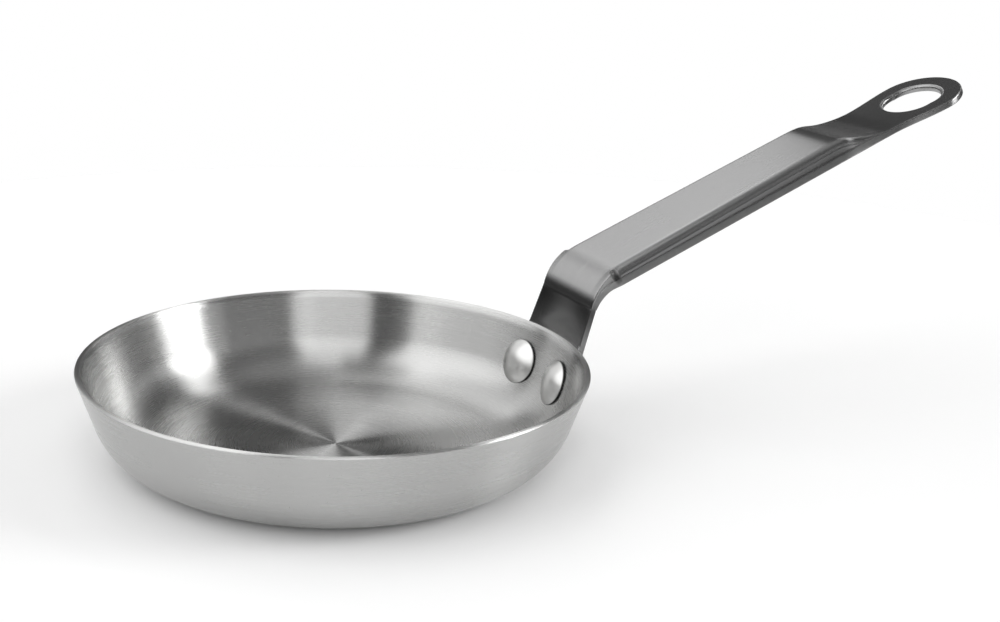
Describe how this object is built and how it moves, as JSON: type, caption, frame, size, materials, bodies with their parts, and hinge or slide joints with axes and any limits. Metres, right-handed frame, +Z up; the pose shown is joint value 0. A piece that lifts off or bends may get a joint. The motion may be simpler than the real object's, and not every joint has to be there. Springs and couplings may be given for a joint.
{
  "type": "omelette pan",
  "caption": "Small round omelette pan with low flared sides and a long pressed-steel channel handle that is riveted on and ends in a hanging eye.",
  "frame": {"origin": "middle of the flat base's underside", "axes": "+Z up out of the pan, +X from the pan's middle along the handle, seen from above, +Y to the left of someone looking along the handle from the pan"},
  "size_m": [0.2426, 0.1196, 0.0835],
  "materials": {
    "pan_steel": "brushed in rings around the pan's middle",
    "handle_steel": "smooth pressed strip",
    "rivet_steel": "smooth and brighter than the pan"
  },
  "bodies": {
    "root": {"pan_body": "pan_steel", "handle": "handle_steel", "rivet_left": "rivet_steel", "rivet_right": "rivet_steel"}
  },
  "joints": []
}
